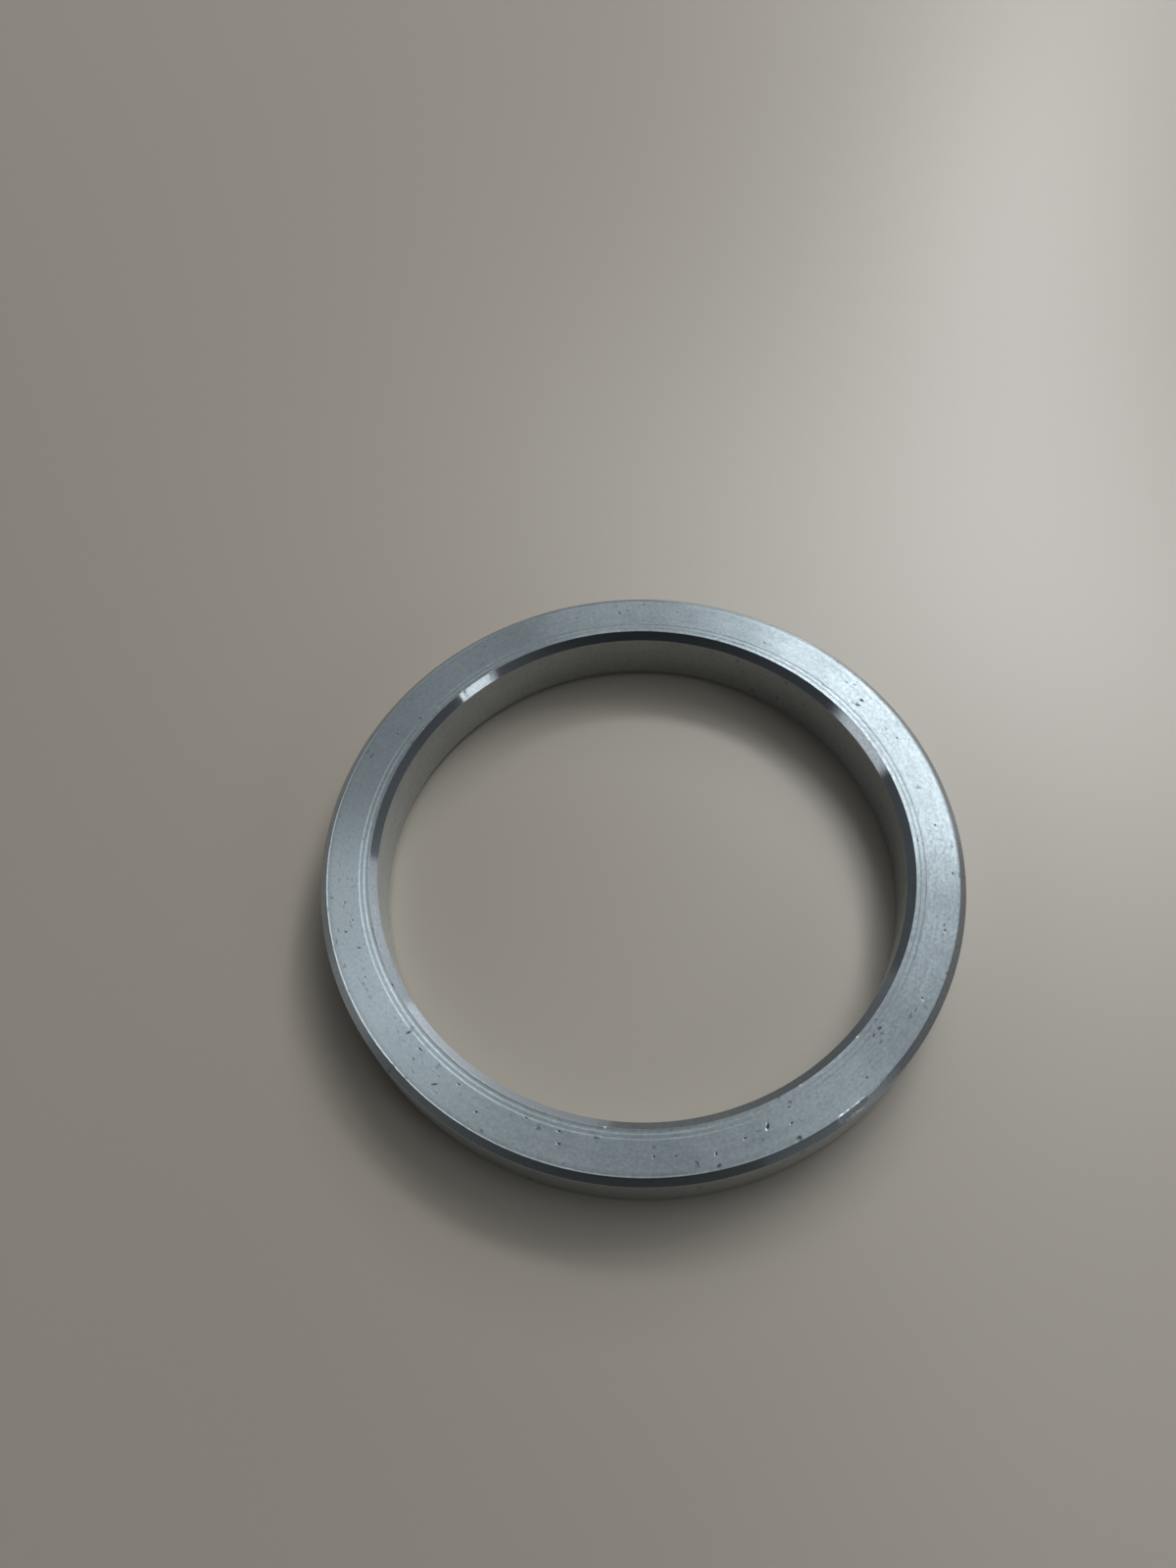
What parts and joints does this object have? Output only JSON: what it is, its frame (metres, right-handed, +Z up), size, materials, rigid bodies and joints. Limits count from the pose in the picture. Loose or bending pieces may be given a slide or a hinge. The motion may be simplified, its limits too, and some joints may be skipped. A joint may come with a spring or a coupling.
{
  "type": "valve seat ring",
  "caption": "Plain turned steel ring with a straight open bore and chamfered corners, made to seat or space the insides of a wafer check valve.",
  "frame": {"origin": "centre of the lower face, on the bore's axis", "axes": "+Z up along the bore's axis, from the lower face to the upper face"},
  "size_m": [0.085, 0.085, 0.01],
  "materials": {
    "turned_steel": "bare steel straight from the lathe: satin faces with fine concentric tool marks, brighter chamfers, small pits and one nick on the rim"
  },
  "bodies": {
    "root": {"seat_ring": "turned_steel"}
  },
  "joints": []
}
